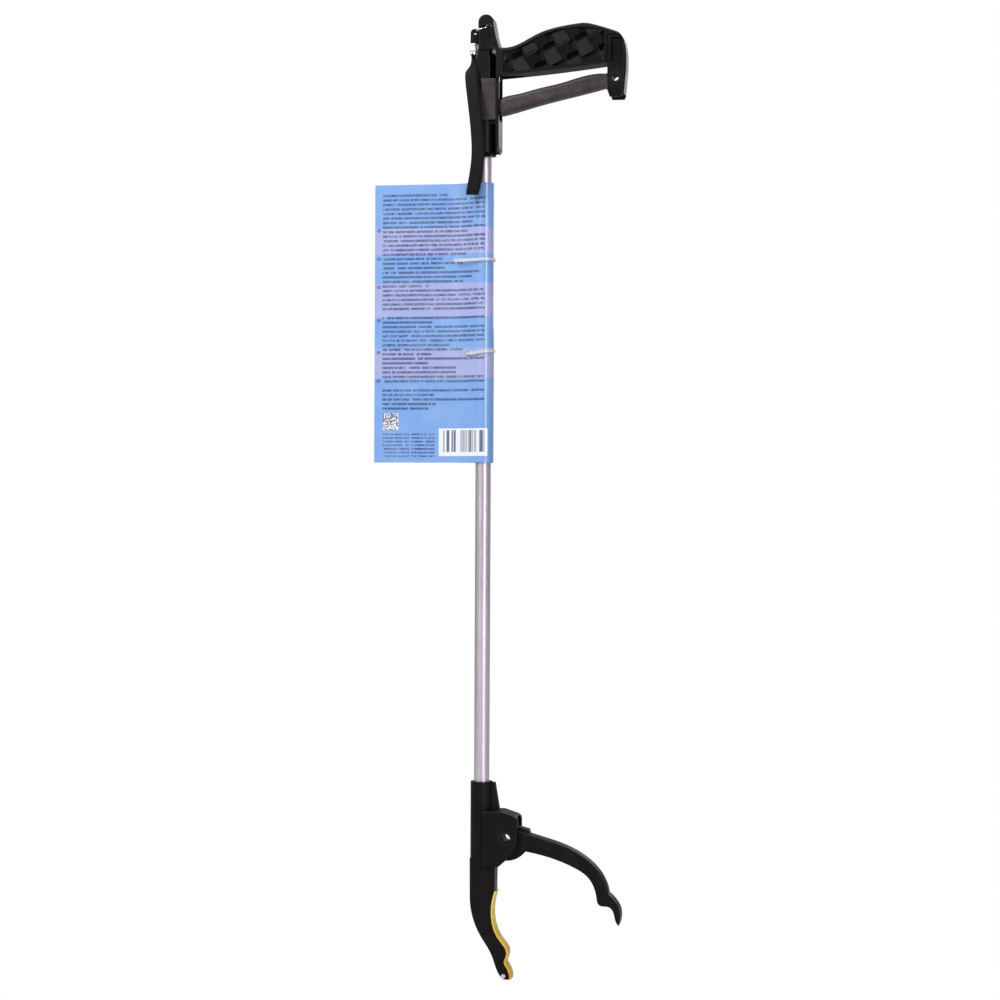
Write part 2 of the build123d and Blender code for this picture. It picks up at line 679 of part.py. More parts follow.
def wrist_strap():
    radii = route_radii(strap_route)
    print("strap bend radii, mm:", [round(r, 1) for r in radii])
    path = FilletPolyline(*strap_route, radius=radii)
    section = Plane(origin=path @ 0, z_dir=path % 0) * Circle(strap_area_r)
    solid = sweep(section, path=path)
    print("strap length, mm:", round(path.length, 1), "volume over section times length:",
          round(solid.volume / (pi * strap_area_r ** 2 * path.length), 4))
    return solid


def card_section(radius, half_gap):
    """The card's line round the tube: from where its halves meet, round, and back."""
    turn = radians(110)
    top = (radius * cos(turn), radius * sin(turn))
    low = (top[0], -top[1])
    lean = (sin(turn), -cos(turn))
    return [
        Spline((card_meet, half_gap), top, tangents=[(1, 0), lean]),
        ThreePointArc(top, (radius, 0), low),
        Spline(low, (card_meet, -half_gap), tangents=[(-lean[0], lean[1]), (-1, 0)]),
    ]


def instruction_card():
    """Sheet folded round the tube; its halves meet where they leave the tube on the left."""
    inner = tube_r + card_gap
    half_gap = 0.05
    outside = card_thick + half_gap
    outer_face = make_face(Curve() + card_section(inner + card_thick, outside) + [
        Polyline((card_meet, -outside), (card_left, -outside), (card_left, outside),
                 (card_meet, outside))])
    inner_face = make_face(Curve() + card_section(inner, half_gap) + [
        Line((card_meet, -half_gap), (card_meet, half_gap))])
    solid = extrude(Pos(0, 0, card_top - card_height) * (outer_face - inner_face),
                    amount=card_height)
    for x, z, tilt in (upper_tie, lower_tie):
        solid -= Pos(x - tie_thick / 2, 0, z) * Rot(Y=tilt) * Box(2.4, 30, tie_width + 1.4)
    return solid


def tie_loop(x_left, reach):
    """A closed outline straight across the left and round the tube on the right."""
    return make_face(Curve() + [
        Line((x_left, reach), (0, reach)),
        ThreePointArc((0, reach), (reach, 0), (0, -reach)),
        Line((0, -reach), (x_left, -reach)),
        Line((x_left, -reach), (x_left, reach)),
    ])


def card_tie(x_left, z, tilt):
    """Narrow strap through the card and round the tube, with its lock at the rear."""
    reach = tube_r + card_gap + card_thick + loose_fit
    band = tie_loop(x_left - tie_thick, reach + tie_thick) - tie_loop(x_left, reach)
    solid = Pos(0, 0, -tie_width / 2) * extrude(band, amount=tie_width)
    rear = reach + tie_thick
    solid += block(x_left + 3.0, x_left + 7.6, rear - 0.5, rear + 3.2, -2.6, 2.6)
    return Pos(x_left, 0, z) * Rot(Y=tilt) * Pos(-x_left, 0, 0) * solid


def at_jaw(shape):
    """From the jaw axle's place to the tool's."""
    return Pos(jaw_axle_x, 0, jaw_axle_z) * shape


def parts():
    guide_z = tube_top_z - 6.0
    return {
        "handle_body": handle_body(),
        "trigger": trigger(),
        "trigger_axle": hollow_axle(grip_reach, 0, post_half, axle_r, axle_bore_r,
                                    axle_flange_r, axle_flange),
        "slider_core": slider_core(),
        "slider_plate_front": slider_plate(-1),
        "slider_plate_rear": slider_plate(1),
        "slider_cross_pin": slider_cross_pin(),
        "travel_stop_pin": travel_stop_pin(),
        "rod_nut": rod_nut(),
        "pull_rod": upright(0, rod_r, rod_bottom_z, rod_top_z),
        "tube": tube(),
        "tube_rivets": Part() + tube_rivets(),
        "upper_rod_guide": rod_guide(guide_z - guide_high, guide_z),
        "lower_rod_guide": rod_guide(spring_seat_z, spring_seat_z + guide_high),
        "return_spring": return_spring(),
        "spring_collar": spring_collar(),
        "rod_yoke": at_jaw(rod_yoke()),
        "lever_pin": at_jaw(lever_pin_piece()),
        "jaw_body": at_jaw(jaw_body()),
        "jaw_lining": at_jaw(jaw_lining()),
        "movable_jaw": at_jaw(movable_jaw()),
        "jaw_axle": at_jaw(hollow_axle(0, 0, cheek_outer, jaw_axle_r, jaw_bore_r,
                                       jaw_flange_r, jaw_flange)),
        "tip_magnet": at_jaw(tip_magnet()),
        "lanyard_ring": lanyard_ring(),
        "strap_ring_fold": strap_ring_fold(),
        "strap_clamp": strap_clamp(),
        "wrist_strap": wrist_strap(),
        "instruction_card": instruction_card(),
        "card_tie_upper": card_tie(*upper_tie),
        "card_tie_lower": card_tie(*lower_tie),
    }


if __name__ == "__main__":
    print("rod travel, mm:", round(rod_travel, 3), "lever radius, mm:", round(lever_r, 3))
    for node, shape in parts().items():
        export_step(Pos(-grip_reach, 0, 0) * shape, f"parts/{node}.step")
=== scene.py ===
from math import pi, radians, sin, cos

import bmesh
import bpy
from mathutils import Matrix, Vector


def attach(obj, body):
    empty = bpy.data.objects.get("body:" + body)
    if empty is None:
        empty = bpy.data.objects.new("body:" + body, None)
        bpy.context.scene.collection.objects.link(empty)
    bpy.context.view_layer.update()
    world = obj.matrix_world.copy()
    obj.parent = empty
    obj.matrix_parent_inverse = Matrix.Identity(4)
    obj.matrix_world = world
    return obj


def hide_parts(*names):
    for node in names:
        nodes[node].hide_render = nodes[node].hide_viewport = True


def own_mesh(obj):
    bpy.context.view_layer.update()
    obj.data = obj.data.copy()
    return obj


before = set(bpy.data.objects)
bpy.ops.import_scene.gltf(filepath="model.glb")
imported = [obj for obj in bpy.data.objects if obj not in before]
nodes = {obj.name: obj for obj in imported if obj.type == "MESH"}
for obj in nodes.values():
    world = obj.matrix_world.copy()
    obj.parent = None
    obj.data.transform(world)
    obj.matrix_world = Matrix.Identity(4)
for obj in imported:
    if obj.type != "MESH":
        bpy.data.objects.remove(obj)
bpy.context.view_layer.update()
print("frame loaded,", len(nodes), "parts")

mm = 0.001
tubeX = -0.112     # the tube's axis; the trigger axle's is at X = 0


# shader maths: a wrapped socket, so that a pattern reads as an expression

class Field:
    def __init__(self, shader, out):
        self.shader, self.out = shader, out

    def maths(self, operation, *others):
        return self.shader.node("ShaderNodeMath", {"operation": operation}, [self, *others])

    def __add__(self, b): return self.maths("ADD", b)
    def __radd__(self, b): return self.maths("ADD", b)
    def __sub__(self, b): return self.maths("SUBTRACT", b)
    def __rsub__(self, b): return self.shader.node("ShaderNodeMath", {"operation": "SUBTRACT"}, [b, self])
    def __mul__(self, b): return self.maths("MULTIPLY", b)
    def __rmul__(self, b): return self.maths("MULTIPLY", b)
    def __truediv__(self, b): return self.maths("DIVIDE", b)
    def __gt__(self, b): return self.maths("GREATER_THAN", b)
    def __lt__(self, b): return self.maths("LESS_THAN", b)
    def __mod__(self, b): return self.maths("FLOORED_MODULO", b)
    def floor(self): return self.maths("FLOOR")
    def sine(self): return self.maths("SINE")
    def atLeast(self, b): return self.maths("MAXIMUM", b)
    def atMost(self, b): return self.maths("MINIMUM", b)
    def within(self, low, high): return (self > low) * (self < high)

    def ramp(self, low, high, outLow=0.0, outHigh=1.0):
        return self.shader.node("ShaderNodeMapRange", {"clamp": True}, [self, low, high, outLow, outHigh])


class Shader:
    def __init__(self, name):
        self.material = bpy.data.materials.new(name)
        self.material.use_nodes = True
        self.tree = self.material.node_tree
        self.surface = self.tree.nodes["Principled BSDF"]

    # one node of any type: settings first, then its inputs by name or in order
    def node(self, kind, settings=None, inputs=(), out=0):
        made = self.tree.nodes.new(kind)
        for key, value in (settings or {}).items():
            if key == "stops":
                ramp = made.color_ramp
                while len(ramp.elements) < len(value):
                    ramp.elements.new(1.0)
                for stop, (place, colour) in zip(ramp.elements, value):
                    stop.position, stop.color = place, (*colour, 1.0)
            else:
                setattr(made, key, value)
        pairs = inputs.items() if isinstance(inputs, dict) else enumerate(inputs)
        for key, value in pairs:
            self.join(value, made.inputs[key])
        return Field(self, made.outputs[out])

    def join(self, value, socket):
        if isinstance(value, Field):
            self.tree.links.new(value.out, socket)
        else:
            socket.default_value = value

    def place(self, centre=(0, 0, 0), stretch=(1, 1, 1), turn=(0, 0, 0)):
        point = self.node("ShaderNodeTexCoord", out="Object")
        return self.node("ShaderNodeMapping", {"vector_type": "TEXTURE"},
                         {"Vector": point, "Location": centre, "Rotation": turn, "Scale": stretch})

    def axes(self, vector):
        split = self.node("ShaderNodeSeparateXYZ", None, [vector])
        return [Field(self, o) for o in split.out.node.outputs]

    def noise(self, vector, scale, detail=2.0, rough=0.5):
        return self.node("ShaderNodeTexNoise", {"noise_dimensions": "3D"},
                         {"Vector": vector, "Scale": scale, "Detail": detail, "Roughness": rough})

    def mixed(self, factor, a, b):
        made = self.tree.nodes.new("ShaderNodeMix")
        made.data_type = "RGBA"
        for socket, value in ((made.inputs[0], factor), (made.inputs[6], a), (made.inputs[7], b)):
            if isinstance(value, Field):
                self.tree.links.new(value.out, socket)
            else:
                socket.default_value = (*value, 1.0) if isinstance(value, tuple) else value
        return Field(self, made.outputs[2])

    def bump(self, height, distance, strength=1.0):
        self.set(Normal=self.node("ShaderNodeBump", None,
                                  {"Strength": strength, "Distance": distance, "Height": height}))

    def set(self, **values):
        for key, value in values.items():
            socket = self.surface.inputs[key.replace("_", " ")]
            if isinstance(value, tuple) and len(value) == 3 and socket.type == "RGBA":
                value = (*value, 1.0)
            self.join(value, socket)


moulding = dict(colour=(0.0032, 0.0024, 0.0028), pale=(0.0095, 0.0072, 0.0084), rough=(0.30, 0.44), grain=1900,
                shine=0.16)
satin = dict(colour=(0.016, 0.0115, 0.0140), pale=(0.082, 0.064, 0.075), rough=(0.30, 0.50), grain=1100, shine=0.45)


def mouldedPlastic(name, look, depth):
    s = Shader(name)
    spot = s.place()
    cloudy = s.noise(spot, 60, 3.0)
    fine = s.noise(spot, look["grain"], 2.0, 0.6)
    s.set(Base_Color=s.mixed(cloudy.ramp(0.35, 0.75) * 0.55 + fine.ramp(0.4, 0.7) * 0.4, look["colour"], look["pale"]),
          Roughness=(cloudy * 0.6 + fine * 0.4).ramp(0.3, 0.7, *look["rough"]), Specular_IOR_Level=look["shine"])
    s.bump(fine, depth)
    return s.material


def smoothPlastic():
    s = Shader("smoothBlackPlastic")
    rub = s.noise(s.place(), 400, 3.0)
    s.set(Base_Color=s.mixed(rub, (0.005, 0.005, 0.006), (0.012, 0.012, 0.013)),
          Roughness=rub.ramp(0.3, 0.7, 0.45, 0.6), Specular_IOR_Level=0.15)
    return s.material


def naturalPlastic():
    s = Shader("naturalPlastic")
    rub = s.noise(s.place(), 300, 3.0)
    s.set(Base_Color=s.mixed(rub, (0.50, 0.50, 0.47), (0.64, 0.64, 0.61)), Roughness=0.45)
    return s.material


tubeLook = dict(colour=(0.66, 0.575, 0.67), pale=(0.90, 0.83, 0.92), rough=(0.32, 0.44), metal=0.78)


def drawnTube():
    s = Shader("satinAluminium")
    # drawing lines run the tube's length, so the pattern is squeezed round it
    lines = s.noise(s.place((tubeX, 0, 0), (1, 1, 60)), 1400, 4.0, 0.7)
    broad = s.noise(s.place((tubeX, 0, 0), (1, 1, 14)), 130, 2.0)
    handled = s.noise(s.place(), 34, 4.0, 0.6)
    s.set(Base_Color=s.mixed(lines.ramp(0.32, 0.68) * 0.6 + broad.ramp(0.35, 0.65) * 0.4,
                             tubeLook["colour"], tubeLook["pale"]),
          Metallic=tubeLook["metal"], Roughness=(lines * 0.6 + handled * 0.4).ramp(0.3, 0.7, *tubeLook["rough"]))
    s.bump(lines, 0.00003, 0.5)
    return s.material


def brightMetal(name, colour, rough, scratch=900, along=(1, 1, 1)):
    s = Shader(name)
    rubbed = s.noise(s.place((0, 0, 0), along), scratch, 4.0, 0.65)
    dull = s.noise(s.place(), 160, 3.0)
    s.set(Base_Color=s.mixed(dull.ramp(0.35, 0.7), colour, tuple(c * 0.8 for c in colour)), Metallic=1.0,
          Roughness=(rubbed * 0.7 + dull * 0.3).ramp(0.3, 0.7, rough * 0.75, rough * 1.4))
    s.bump(rubbed, 0.00002, 0.4)
    return s.material


# lining colours: top is the rubber's yellow paled to cream as a painted highlight; middle and tip are its yellow
# deepening to orange towards the tip
liningTonesAndHighlight = dict(top=(0.86, 0.78, 0.36), middle=(0.86, 0.60, 0.07), tip=(0.72, 0.38, 0.02), zTop=-0.650, zTip=-0.752)


def yellowRubber():
    s = Shader("yellowRubber")
    z = s.axes(s.place())[2]
    soft = s.noise(s.place(), 220, 4.0, 0.6)
    # painted highlight: the yellow is paled to cream towards the top and deepens to orange towards the tip, with a
    # little random variation
    highlightFalloff = z.ramp(liningTonesAndHighlight["zTop"], liningTonesAndHighlight["zTip"]) + (soft - 0.5) * 0.25
    yellowWithPaintedHighlight = s.node("ShaderNodeValToRGB", {"stops": [(0.0, liningTonesAndHighlight["top"]), (0.5, liningTonesAndHighlight["middle"]),
                                                    (1.0, liningTonesAndHighlight["tip"])]}, [highlightFalloff])
    s.set(Base_Color=yellowWithPaintedHighlight, Roughness=soft.ramp(0.3, 0.7, 0.30, 0.46), Subsurface_Weight=0.08,
          Subsurface_Radius=(0.004, 0.002, 0.001), Subsurface_Scale=0.5)
    s.bump(soft, 0.0001, 0.5)
    return s.material


webLook = dict(colour=(0.0030, 0.0028, 0.0034), thread=(0.0150, 0.0135, 0.0155), ribs=9, picksPerMetre=900)


# read along the piece's own map: U across the webbing, V in metres along it
def wovenWebbing():
    s = Shader("blackWebbing")
    around = s.node("ShaderNodeUVMap", {"uv_map": "weave"})
    u, v = s.axes(around)[:2]
    cord = (u * (webLook["ribs"] * 2 * pi)).sine() * 0.5 + 0.5
    pick = (v * (webLook["picksPerMetre"] * 2 * pi) + (u * webLook["ribs"]).floor() * pi).sine() * 0.5 + 0.5
    fuzz = s.noise(s.place(), 2600, 3.0, 0.7)
    raised = cord * 0.65 + pick * cord * 0.35
    s.set(Base_Color=s.mixed((raised * 0.7 + fuzz * 0.4).ramp(0.2, 1.0), webLook["colour"], webLook["thread"]),
          Roughness=fuzz.ramp(0.3, 0.7, 0.6, 0.85), Sheen_Weight=0.06, Sheen_Roughness=0.4,
          Specular_IOR_Level=0.2)
    s.bump(raised + fuzz * 0.3, 0.0004, 0.8)
    return s.material


def clearNylon():
    s = Shader("clearNylon")
    ripple = s.noise(s.place(), 500, 3.0)
    s.set(Base_Color=s.mixed(ripple, (0.78, 0.80, 0.84), (0.92, 0.93, 0.95)),
          Roughness=ripple.ramp(0.3, 0.7, 0.18, 0.32), Transmission_Weight=0.35, IOR=1.5)
    return s.material


# printed card: sizes in millimetres, X from the tube's axis and Z from the axle's height
printLook = dict(
    blue=(0.205, 0.395, 0.800), lavender=(0.385, 0.430, 0.760), ink=(0.020, 0.032, 0.150), paper=(0.86, 0.88, 0.92),
    edges=(-121.7, -144.0, -168.7, -197.0, -224.0, -249.2),
    bullets=(-123.3, -147.6, -171.4, -199.6, -226.9, -251.1),
    shift=-0.8, textLeft=-87.8, textRight=2.2, linePitch=3.85, lineHigh=2.0, lineFoot=0.8,
    rowStart=84.0, bodyLow=-276.5, bodyTop=-91.0, smallColumns=((-87, -64), (-62, -42)), smallLow=-315.8,
    smallTop=-296, smallPitch=3.1, bulletX=-91.0, bulletArea=3.2, barWide=0.62, inkStrength=0.86,
    blockLeft=-87.0, blockRight=-73.4, blockTop=-278.8, blockLow=-292.8, cell=1.05,
    barsLeft=-38.3, barsRight=5.0, barsTop=-291.6, barsLow=-315.0)


def printedCard():
    s = Shader("printedCard")
    p = printLook
    x, _, z = s.axes(s.place((tubeX, 0, p["shift"] * mm), (mm, mm, mm)))
    # alternating bands, each edge turning the tint over
    flips = sum((z < edge for edge in p["edges"][1:]), z < p["edges"][0])
    tint = (flips % 2.0) * (1 - (z < p["edges"][5]))
    ground = s.mixed(tint, p["blue"], p["lavender"])
    # rows of small blocks stand for the text; no letter can be read in them
    row = ((z + p["rowStart"]) / p["linePitch"]).floor()
    inRow = ((z + p["rowStart"]) % p["linePitch"]).within(p["lineFoot"], p["lineFoot"] + p["lineHigh"])
    across = s.node("ShaderNodeCombineXYZ", None, [x / 2.6, row * 3.7, 0.5])
    words = s.noise(across, 1.35, 1.0) > 0.37
    strokes = s.node("ShaderNodeCombineXYZ", None, [x / 0.62, row * 5.1, (z * 1.6).floor()])
    letters = s.noise(strokes, 1.0, 0.0) > 0.39
    ends = s.node("ShaderNodeTexWhiteNoise", {"noise_dimensions": "1D"}, {"W": row * 1.37}, out="Value")
    gap = ends > 0.08
    extent = (x > p["textLeft"]) * (x < (ends * 130.0 - 60.0).atMost(p["textRight"]).atLeast(-48.0))
    body = z.within(p["bodyLow"], p["bodyTop"])
    text = inRow * words * letters * extent * gap * body
    first, second = p["smallColumns"]
    small = x.within(*first).atLeast(x.within(*second)) * z.within(p["smallLow"], p["smallTop"])
    smallRow = ((z + p["rowStart"]) % p["smallPitch"]).within(0.7, 2.0)
    text = text.atLeast(small * smallRow * (s.noise(across, 3.2, 0.0) > 0.42))
    dots = None
    for high in p["bullets"]:
        far = (x - p["bulletX"]).maths("POWER", 2.0) + ((z - high) * 1.15).maths("POWER", 2.0)
        spot = (far < p["bulletArea"]) * (1 - far.within(0.5, 1.5) * 0.8)
        dots = spot if dots is None else dots.atLeast(spot)
    cell = s.node("ShaderNodeCombineXYZ", None, [(x / p["cell"]).floor(), (z / p["cell"]).floor(), 3.0])
    cells = s.node("ShaderNodeTexWhiteNoise", {"noise_dimensions": "3D"}, {"Vector": cell}, out="Value")
    block = x.within(p["blockLeft"], p["blockRight"]) * z.within(p["blockLow"], p["blockTop"])
    bars = x.within(p["barsLeft"], p["barsRight"]) * z.within(p["barsLow"], p["barsTop"])
    barArea = x.within(p["barsLeft"] + 4, p["barsRight"] - 2.5) * z.within(p["barsLow"] + 3.5, p["barsTop"] - 1.5)
    bar = (x / p["barWide"]).floor() * 0.731
    stripes = s.node("ShaderNodeTexWhiteNoise", {"noise_dimensions": "1D"}, {"W": bar}, out="Value") > 0.5
    ground = s.mixed(bars, ground, p["paper"])
    ground = s.mixed(block, ground, p["paper"])
    ink = text.atLeast(dots).atLeast(block * (cells > 0.5)).atLeast(barArea * stripes)
    # only the leaf that faces forward is printed
    facing = s.axes(s.node("ShaderNodeTexCoord", out="Normal"))[1] < 0.0
    fade = s.noise(s.place(), 45, 3.0)
    printed = s.mixed(facing, p["blue"], s.mixed(ink * p["inkStrength"], ground, p["ink"]))
    printed = s.mixed(fade.ramp(0.4, 0.8) * 0.12, printed, (0.80, 0.84, 0.92))
    s.set(Base_Color=printed, Roughness=0.32, Coat_Weight=1.0, Coat_Roughness=0.06)
    s.bump(s.noise(s.place((0, 0, 0), (1, 1, 1.7)), 24, 2.0), 0.0006, 0.35)
    return s.material


blackPlastic = mouldedPlastic("blackMoulding", moulding, 0.00005)
greyPlastic = mouldedPlastic("satinMoulding", satin, 0.00008)
axlePlastic, guidePlastic = smoothPlastic(), naturalPlastic()
tubeMetal = drawnTube()
rodMetal = brightMetal("drawnSteel", (0.56, 0.56, 0.57), 0.26, 1200, (1, 1, 40))
springMetal = brightMetal("springSteel", (0.50, 0.50, 0.50), 0.3)
pinMetal = brightMetal("pinSteel", (0.80, 0.80, 0.81), 0.14)
ringMetal = brightMetal("nickelWire", (0.82, 0.81, 0.79), 0.13)
magnetMetal = brightMetal("nickelPlate", (0.85, 0.84, 0.81), 0.16)
clampMetal = brightMetal("clampSteel", (0.88, 0.87, 0.88), 0.5)
rivetMetal = brightMetal("rivetAluminium", (0.80, 0.79, 0.81), 0.25)
rubber, webbing, nylon, card = yellowRubber(), wovenWebbing(), clearNylon(), printedCard()

finishes = {
    "handle_body": blackPlastic, "jaw_body": blackPlastic, "movable_jaw": blackPlastic,
    "trigger": greyPlastic, "slider_core": greyPlastic, "slider_plate_front": greyPlastic,
    "slider_plate_rear": greyPlastic, "trigger_axle": axlePlastic, "jaw_axle": axlePlastic,
    "upper_rod_guide": guidePlastic, "lower_rod_guide": guidePlastic, "spring_collar": guidePlastic,
    "tube": tubeMetal, "tube_rivets": rivetMetal, "pull_rod": rodMetal, "rod_nut": rodMetal,
    "rod_yoke": rodMetal, "return_spring": springMetal, "slider_cross_pin": pinMetal,
    "travel_stop_pin": pinMetal, "lever_pin": pinMetal, "jaw_lining": rubber,
    "tip_magnet": magnetMetal, "lanyard_ring": ringMetal, "strap_clamp": clampMetal,
    "strap_ring_fold": webbing, "wrist_strap": webbing, "instruction_card": card,
    "card_tie_upper": nylon, "card_tie_lower": nylon,
}
for name, material in finishes.items():
    held = nodes[name].data.materials
    held.clear()
    held.append(material)
print("finishes set")


def finishPiece(name, work, material, smooth=40):
    mesh = bpy.data.meshes.new(name)
    bmesh.ops.recalc_face_normals(work, faces=work.faces)
    work.to_mesh(mesh)
    work.free()
    mesh.materials.append(material)
    piece = bpy.data.objects.new(name, mesh)
    bpy.context.scene.collection.objects.link(piece)
    for face in mesh.polygons:
        face.use_smooth = True
    if smooth < 180:
        mesh.set_sharp_from_angle(angle=radians(smooth))
    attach(piece, "frame")
    return piece


def routeLine(points, resolution):
    # the smooth line through a route: a quadratic spline that its points steer
    line = bpy.data.curves.new("routeLine", "CURVE")
    line.dimensions = "3D"
    line.resolution_u = resolution
    spline = line.splines.new("NURBS")
    spline.points.add(len(points) - 1)
    for point, place in zip(spline.points, points):
        point.co = (*place, 1.0)
    spline.order_u = 3
    spline.use_endpoint_u = True
    holder = bpy.data.objects.new("routeLine", line)
    mesh = bpy.data.meshes.new_from_object(holder)
    found = [v.co.copy() for v in mesh.vertices]
    bpy.data.meshes.remove(mesh)
    bpy.data.objects.remove(holder)
    bpy.data.curves.remove(line)
    return found


def webbingAlong(points, wides, width, thick):
    # a flat section extruded from point to point, its long side turned towards each entry of wides
    work = bmesh.new()
    uvs = work.loops.layers.uv.new("weave")
    half, deep = width / 2, thick / 2
    # the section: straight faces, rounded edges
    outline = [(-half + 0.25 * deep, -deep), (-half * 0.5, -deep), (0, -deep), (half * 0.5, -deep),
               (half - 0.25 * deep, -deep), (half, -deep * 0.4), (half, deep * 0.4), (half - 0.25 * deep, deep),
               (half * 0.5, deep), (0, deep), (-half * 0.5, deep), (-half + 0.25 * deep, deep),
               (-half, deep * 0.4), (-half, -deep * 0.4)]
    rings = []
    for i, centre in enumerate(points):
        ahead = (points[min(i + 1, len(points) - 1)] - points[max(i - 1, 0)]).normalized()
        wide = (wides[i] - ahead * wides[i].dot(ahead)).normalized()
        out = ahead.cross(wide)
        rings.append([work.verts.new(centre + wide * a + out * b) for a, b in outline])
        if i:
            edges = []
            for ring in rings[-2:]:
                for j, vert in enumerate(ring):
                    edges.append(work.edges.get((vert, ring[j - 1])) or work.edges.new((vert, ring[j - 1])))
            bmesh.ops.bridge_loops(work, edges=edges)
    for ring in (rings[0], rings[-1]):
        work.faces.new(ring)
    place, far = {}, 0.0
    for i, ring in enumerate(rings):
        far += (points[i] - points[i - 1]).length if i else 0.0
        for vert, (a, b) in zip(ring, outline):
            place[vert] = ((a + half) / width, far)
    for face in work.faces:
        for loop in face.loops:
            loop[uvs].uv = place[loop.vert]
    return work


strap = dict(
    width=10.0 * mm, thick=1.3 * mm, resolution=14,
    route=[(-10.1, -1.0, 22.2), (-11.0, -5.8, 14.0), (-9.6, -14.0, 2.0), (-6.8, -17.6, -16.0),
           (-3.6, -18.8, -40.0), (-2.0, -19.8, -64.0), (-5.0, -18.8, -84.0), (-8.0, -16.6, -96.8),
           (-7.4, -12.6, -95.2), (-3.8, -12.8, -78.0), (-2.2, -13.4, -52.0), (-5.2, -12.9, -24.0),
           (-8.4, -10.6, 0.0), (-9.6, -5.0, 12.0), (-8.5, 1.6, 22.2)],
    turnStart=21.0, turnEnd=2.0)   # the heights between which the webbing twists a quarter turn


def makeStrap():
    route = [Vector(((x * mm) + tubeX, y * mm, z * mm)) for x, y, z in strap["route"]]
    line = routeLine(route, strap["resolution"])
    wides = []
    for place in line:
        share = (strap["turnStart"] - place.z / mm) / (strap["turnStart"] - strap["turnEnd"])
        share = min(max(share, 0.0), 1.0)
        turn = pi / 2 * (share * share * (3 - 2 * share))
        wides.append(Vector((sin(turn), -cos(turn), 0)))
    piece = finishPiece("wristStrap", webbingAlong(line, wides, strap["width"], strap["thick"]), webbing, 70)
    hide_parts("wrist_strap")


fold = dict(width=8.0 * mm, thick=1.5 * mm, steps=10, centre=(-8.5, 41.5), radius=2.6,
            leftLeg=[(-11.2, 31.8), (-11.2, 35.5), (-11.1, 39.4)], rightLeg=[(-5.9, 39.0), (-6.9, 35.0), (-7.9, 31.8)],
            tail=[(-9.6, 31.8), (-9.2, 35.5), (-8.6, 40.2)], tailThick=3.0 * mm)


def makeFold():
    x0, z0 = fold["centre"]
    places = list(fold["leftLeg"])
    for i in range(fold["steps"] + 1):
        turn = pi - pi * i / fold["steps"]
        places.append((x0 + fold["radius"] * cos(turn), z0 + fold["radius"] * sin(turn)))
    places += fold["rightLeg"]
    for name, points, thick in (("strapFold", places, fold["thick"]), ("strapTail", fold["tail"], fold["tailThick"])):
        line = [Vector((x * mm + tubeX, 0, z * mm)) for x, z in points]
        wides = [Vector((0, 1, 0))] * len(line)
        piece = finishPiece(name, webbingAlong(line, wides, fold["width"], thick), webbing, 70)
        if name == "strapFold":
            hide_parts("strap_ring_fold")


crimp = dict(left=-12.3, right=-6.9, half=5.7, low=22.8, top=32.3, bevel=0.7, grooves=(24.6, 30.4), wide=0.6)


def makeCrimp():
    work = bmesh.new()
    c = crimp
    bmesh.ops.create_cube(work, size=1.0)
    bmesh.ops.scale(work, verts=work.verts,
                    vec=((c["right"] - c["left"]) * mm, 2 * c["half"] * mm, (c["top"] - c["low"]) * mm))
    bmesh.ops.translate(work, verts=work.verts,
                        vec=((c["right"] + c["left"]) / 2 * mm + tubeX, 0, (c["top"] + c["low"]) / 2 * mm))
    upright = [e for e in work.edges if abs(e.verts[0].co.z - e.verts[1].co.z) > 1 * mm]
    bmesh.ops.bevel(work, geom=upright, offset=c["bevel"] * 1.6 * mm, offset_type="OFFSET", segments=4, profile=0.5,
                    affect="EDGES", material=-1, clamp_overlap=True)
    # two pressed rings hold the webbing
    for height in c["grooves"]:
        for z in (height - c["wide"], height - c["wide"] * 0.35, height + c["wide"] * 0.35, height + c["wide"]):
            bmesh.ops.bisect_plane(work, geom=work.verts[:] + work.edges[:] + work.faces[:],
                                   plane_co=(0, 0, z * mm), plane_no=(0, 0, 1))
        sunk = [v for v in work.verts if abs(v.co.z - height * mm) < c["wide"] * 0.5 * mm]
        centre = Vector(((c["right"] + c["left"]) / 2 * mm + tubeX, 0, 0))
        for vert in sunk:
            away = Vector((vert.co.x - centre.x, vert.co.y, 0))
            vert.co -= Vector((away.x * 0.14, away.y * 0.05, 0))
    rims = [e for e in work.edges if len(e.link_faces) == 2 and e.calc_face_angle(0) > radians(60)
            and abs(e.verts[0].co.z - e.verts[1].co.z) < 0.1 * mm]
    bmesh.ops.bevel(work, geom=rims, offset=c["bevel"] * 0.6 * mm, offset_type="OFFSET", segments=3, profile=0.5,
                    affect="EDGES", material=-1, clamp_overlap=True)
    piece = finishPiece("strapCrimp", work, clampMetal, 50)
    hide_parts("strap_clamp")


def makeSpring():
    work = bmesh.new()
    work.from_mesh(nodes["return_spring"].data)
    bmesh.ops.remove_doubles(work, verts=work.verts, dist=0.0005 * mm)
    piece = finishPiece("coilSpring", work, springMetal, 60)
    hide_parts("return_spring")
    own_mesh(piece)


makeStrap()
makeFold()
makeCrimp()
makeSpring()
print("strap and spring made")


view = dict(target=(14.6 * mm + tubeX, 0.0, -352.8 * mm), distance=2.0, yaw=10.2, roll=0.28, lens=85.3)


def makeCamera():
    data = bpy.data.cameras.new("camera")
    data.lens, data.sensor_width = view["lens"], 36.0
    data.clip_start, data.clip_end = 0.05, 30.0
    camera = bpy.data.objects.new("camera", data)
    bpy.context.scene.collection.objects.link(camera)
    target = Vector(view["target"])
    turn = radians(view["yaw"])
    camera.location = target + view["distance"] * Vector((sin(turn), -cos(turn), 0))
    aim = (target - camera.location).to_track_quat("-Z", "Y").to_matrix()
    camera.rotation_euler = (aim @ Matrix.Rotation(radians(view["roll"]), 3, "Z")).to_euler()
    bpy.context.scene.camera = camera


floorLook = dict(z=-0.80, radius=9.0, colour=(0.55, 0.55, 0.55))


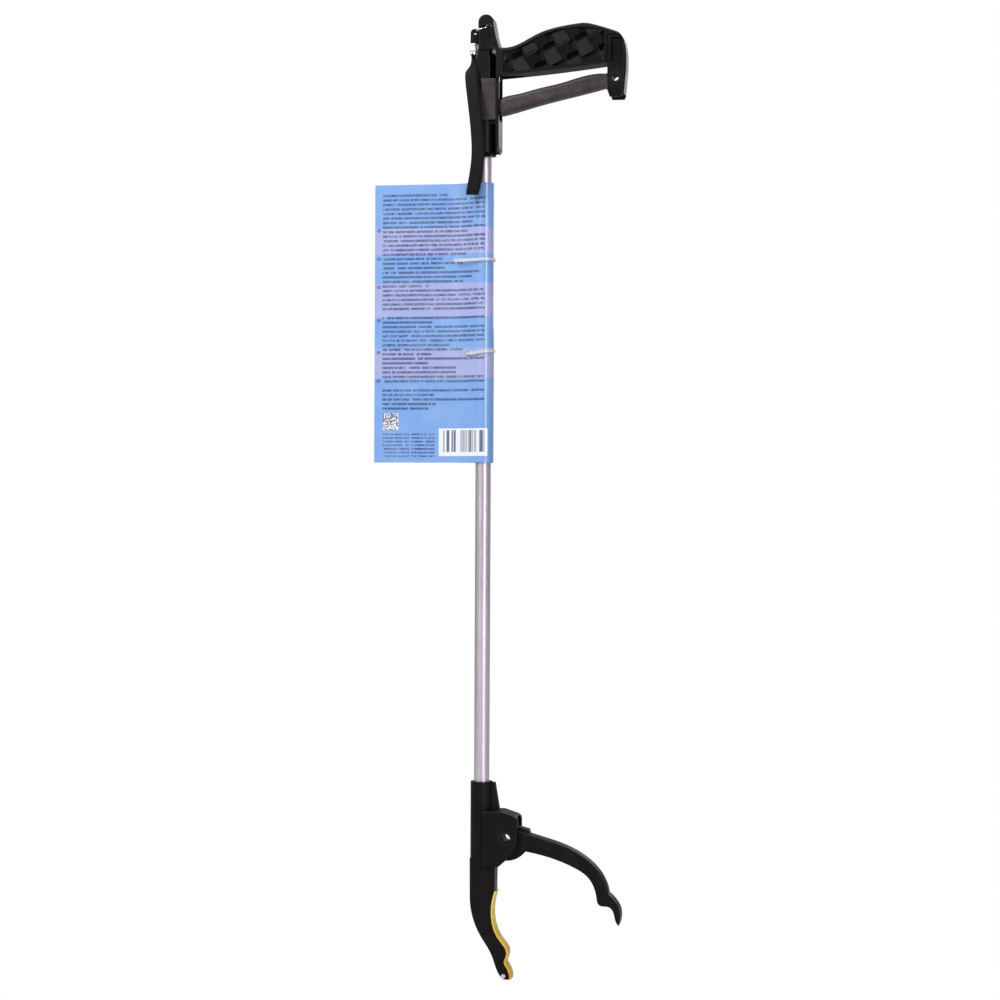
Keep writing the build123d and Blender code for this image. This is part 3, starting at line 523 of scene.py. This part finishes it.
def makeFloor():
    work = bmesh.new()
    bmesh.ops.create_circle(work, cap_ends=True, segments=96, radius=floorLook["radius"])
    bmesh.ops.translate(work, vec=(0, 0, floorLook["z"]), verts=work.verts)
    mesh = bpy.data.meshes.new("floor")
    work.to_mesh(mesh)
    work.free()
    floor = bpy.data.objects.new("floor", mesh)
    bpy.context.scene.collection.objects.link(floor)
    s = Shader("paperFloor")
    s.set(Base_Color=floorLook["colour"], Roughness=0.9)
    # white to the camera, a soft grey to everything that it lights
    glow = s.node("ShaderNodeEmission", None, {"Color": (1, 1, 1, 1), "Strength": 1.0})
    seen = s.node("ShaderNodeLightPath", out="Is Camera Ray")
    both = s.node("ShaderNodeMixShader", None, [seen, Field(s, s.surface.outputs[0]), glow])
    s.join(both, s.tree.nodes["Material Output"].inputs["Surface"])
    mesh.materials.append(s.material)


lamps = [
    dict(name="keyLamp", at=(-1.5, -2.0, 1.2), size=(1.0, 1.8), power=52),
    dict(name="fillLamp", at=(1.5, -2.1, 0.3), size=(0.7, 2.4), power=26),
    dict(name="topLamp", at=(0.0, -0.2, 2.0), size=(2.0, 1.6), power=34),
    dict(name="backLamp", at=(0.8, 2.0, 0.7), size=(1.6, 1.6), power=14),
]
room = dict(seen=1.0, light=0.2)


def makeLamps():
    aim = Vector((tubeX, 0, -0.3))
    for lamp in lamps:
        data = bpy.data.lights.new(lamp["name"], "AREA")
        data.shape = "RECTANGLE"
        data.size, data.size_y = lamp["size"]
        data.energy = lamp["power"]
        holder = bpy.data.objects.new(lamp["name"], data)
        bpy.context.scene.collection.objects.link(holder)
        holder.location = lamp["at"]
        holder.rotation_euler = (aim - holder.location).to_track_quat("-Z", "Y").to_euler()
    world = bpy.data.worlds.new("studio")
    world.use_nodes = True
    tree = world.node_tree
    plain = tree.nodes["Background"]
    plain.inputs["Color"].default_value = (1, 1, 1, 1)
    path = tree.nodes.new("ShaderNodeLightPath")
    level = tree.nodes.new("ShaderNodeMapRange")
    level.inputs["To Min"].default_value = room["light"]
    level.inputs["To Max"].default_value = room["seen"]
    tree.links.new(path.outputs["Is Camera Ray"], level.inputs["Value"])
    tree.links.new(level.outputs["Result"], plain.inputs["Strength"])
    bpy.context.scene.world = world
    bpy.context.scene.view_settings.view_transform = "Standard"


makeCamera()
makeFloor()
makeLamps()
print("stage set")
